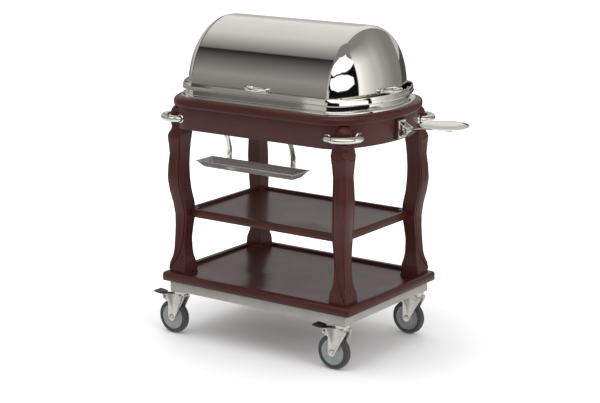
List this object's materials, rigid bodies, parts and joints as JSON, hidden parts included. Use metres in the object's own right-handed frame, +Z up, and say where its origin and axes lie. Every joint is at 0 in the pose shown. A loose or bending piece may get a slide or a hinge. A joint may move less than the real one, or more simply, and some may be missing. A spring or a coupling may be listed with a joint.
{
  "type": "carving trolley",
  "caption": "Wooden serving trolley on curved legs and swivel casters, with a hinged barrel dome over a heated carving well, two shelves, corner rails, drop tray and plate holder.",
  "frame": {"origin": "on the floor under the middle of the whole footprint, plate holder, drop tray and rails included", "axes": "+Z up, +X along the trolley towards the plate holder, -Y towards the carver, on the drop tray's side"},
  "size_m": [1.1644, 0.6226, 1.162],
  "materials": {
    "mahogany": "dark reddish mahogany stain under satin lacquer",
    "board_wood": "oiled light hardwood",
    "polished_steel": "mirror polished",
    "satin_steel": "satin",
    "zinc_steel": "bright zinc plated",
    "wheel_centre": "grey moulded",
    "grey_tyre": "dark grey matt rubber",
    "pedal_black": "black moulded over steel"
  },
  "bodies": {
    "trolley": {"deck_slab": "mahogany", "apron": "mahogany", "leg_front_left": "mahogany", "leg_front_right": "mahogany", "leg_rear_left": "mahogany", "leg_rear_right": "mahogany", "middle_shelf": "mahogany", "base_board": "mahogany", "plate_holder_block": "mahogany", "well_frame": "polished_steel", "drop_tray": "polished_steel", "tray_strap_left": "polished_steel", "tray_strap_right": "polished_steel", "plate_holder_pin": "polished_steel", "plate_holder_bracket": "polished_steel", "corner_rail_front_left": "polished_steel", "corner_rail_front_right": "polished_steel", "corner_rail_rear_left": "polished_steel", "corner_rail_rear_right": "polished_steel", "hinge_bracket_left": "polished_steel", "hinge_bracket_right": "polished_steel", "underframe": "satin_steel", "water_pan": "satin_steel", "cover_plate": "satin_steel", "caster_plate_front_left": "zinc_steel", "caster_plate_front_right": "zinc_steel", "caster_plate_rear_left": "zinc_steel", "caster_plate_rear_right": "zinc_steel"},
    "dome": {"dome": "polished_steel", "dome_handle_front": "polished_steel", "dome_handle_right": "polished_steel", "dome_handle_left": "polished_steel", "hinge_leaf_left": "polished_steel", "hinge_leaf_right": "polished_steel"},
    "plate_holder": {"plate_holder_arm": "polished_steel", "plate_dish": "polished_steel"},
    "carving_board": {"carving_board": "board_wood"},
    "gravy_pan_front": {"gravy_pan_front": "satin_steel"},
    "gravy_pan_rear": {"gravy_pan_rear": "satin_steel"},
    "swivel_front_left": {"caster_fork_front_left": "zinc_steel", "wheel_axle_front_left": "zinc_steel"},
    "wheel_front_left": {"wheel_hub_front_left": "wheel_centre", "wheel_tyre_front_left": "grey_tyre"},
    "pedal_front_left": {"brake_pedal_front_left": "pedal_black"},
    "swivel_front_right": {"caster_fork_front_right": "zinc_steel", "wheel_axle_front_right": "zinc_steel"},
    "wheel_front_right": {"wheel_hub_front_right": "wheel_centre", "wheel_tyre_front_right": "grey_tyre"},
    "pedal_front_right": {"brake_pedal_front_right": "pedal_black"},
    "swivel_rear_left": {"caster_fork_rear_left": "zinc_steel", "wheel_axle_rear_left": "zinc_steel"},
    "wheel_rear_left": {"wheel_hub_rear_left": "wheel_centre", "wheel_tyre_rear_left": "grey_tyre"},
    "pedal_rear_left": {"brake_pedal_rear_left": "pedal_black"},
    "swivel_rear_right": {"caster_fork_rear_right": "zinc_steel", "wheel_axle_rear_right": "zinc_steel"},
    "wheel_rear_right": {"wheel_hub_rear_right": "wheel_centre", "wheel_tyre_rear_right": "grey_tyre"},
    "pedal_rear_right": {"brake_pedal_rear_right": "pedal_black"}
  },
  "joints": [
    {"name": "dome_hinge", "type": "hinge", "parent": "trolley", "child": "dome", "pos_m": [-0.10985, 0.26269, 0.945], "axis": [-1, 0, 0], "range_deg": [0, 90]},
    {"name": "plate_holder_fold", "type": "hinge", "parent": "trolley", "child": "plate_holder", "pos_m": [0.35805, 0.01069, 0.818], "axis": [0, 1, 0], "range_deg": [0, 90]},
    {"name": "board_lift", "type": "slide", "parent": "trolley", "child": "carving_board", "axis": [0, 0, 1], "range_m": [0, 0.06]},
    {"name": "gravy_pan_front_lift", "type": "slide", "parent": "trolley", "child": "gravy_pan_front", "axis": [0, 0, 1], "range_m": [0, 0.12]},
    {"name": "gravy_pan_rear_lift", "type": "slide", "parent": "trolley", "child": "gravy_pan_rear", "axis": [0, 0, 1], "range_m": [0, 0.12]},
    {"name": "caster_swivel_front_left", "type": "hinge", "parent": "trolley", "child": "swivel_front_left", "pos_m": [-0.46785, -0.23031, 0.15], "axis": [0, 0, 1], "continuous": true},
    {"name": "wheel_spin_front_left", "type": "hinge", "parent": "swivel_front_left", "child": "wheel_front_left", "pos_m": [-0.50185, -0.23031, 0.0625], "axis": [0, 1, 0], "continuous": true},
    {"name": "brake_front_left", "type": "hinge", "parent": "swivel_front_left", "child": "pedal_front_left", "pos_m": [-0.53185, -0.23031, 0.138], "axis": [0, -1, 0], "range_deg": [0, 14]},
    {"name": "caster_swivel_front_right", "type": "hinge", "parent": "trolley", "child": "swivel_front_right", "pos_m": [0.24815, -0.23031, 0.15], "axis": [0, 0, 1], "continuous": true},
    {"name": "wheel_spin_front_right", "type": "hinge", "parent": "swivel_front_right", "child": "wheel_front_right", "pos_m": [0.21415, -0.23031, 0.0625], "axis": [0, 1, 0], "continuous": true},
    {"name": "brake_front_right", "type": "hinge", "parent": "swivel_front_right", "child": "pedal_front_right", "pos_m": [0.18415, -0.23031, 0.138], "axis": [0, -1, 0], "range_deg": [0, 14]},
    {"name": "caster_swivel_rear_left", "type": "hinge", "parent": "trolley", "child": "swivel_rear_left", "pos_m": [-0.46785, 0.25168, 0.15], "axis": [0, 0, 1], "continuous": true},
    {"name": "wheel_spin_rear_left", "type": "hinge", "parent": "swivel_rear_left", "child": "wheel_rear_left", "pos_m": [-0.50185, 0.25168, 0.0625], "axis": [0, 1, 0], "continuous": true},
    {"name": "brake_rear_left", "type": "hinge", "parent": "swivel_rear_left", "child": "pedal_rear_left", "pos_m": [-0.53185, 0.25168, 0.138], "axis": [0, -1, 0], "range_deg": [0, 14]},
    {"name": "caster_swivel_rear_right", "type": "hinge", "parent": "trolley", "child": "swivel_rear_right", "pos_m": [0.24815, 0.25168, 0.15], "axis": [0, 0, 1], "continuous": true},
    {"name": "wheel_spin_rear_right", "type": "hinge", "parent": "swivel_rear_right", "child": "wheel_rear_right", "pos_m": [0.21415, 0.25168, 0.0625], "axis": [0, 1, 0], "continuous": true},
    {"name": "brake_rear_right", "type": "hinge", "parent": "swivel_rear_right", "child": "pedal_rear_right", "pos_m": [0.18415, 0.25168, 0.138], "axis": [0, -1, 0], "range_deg": [0, 14]}
  ]
}
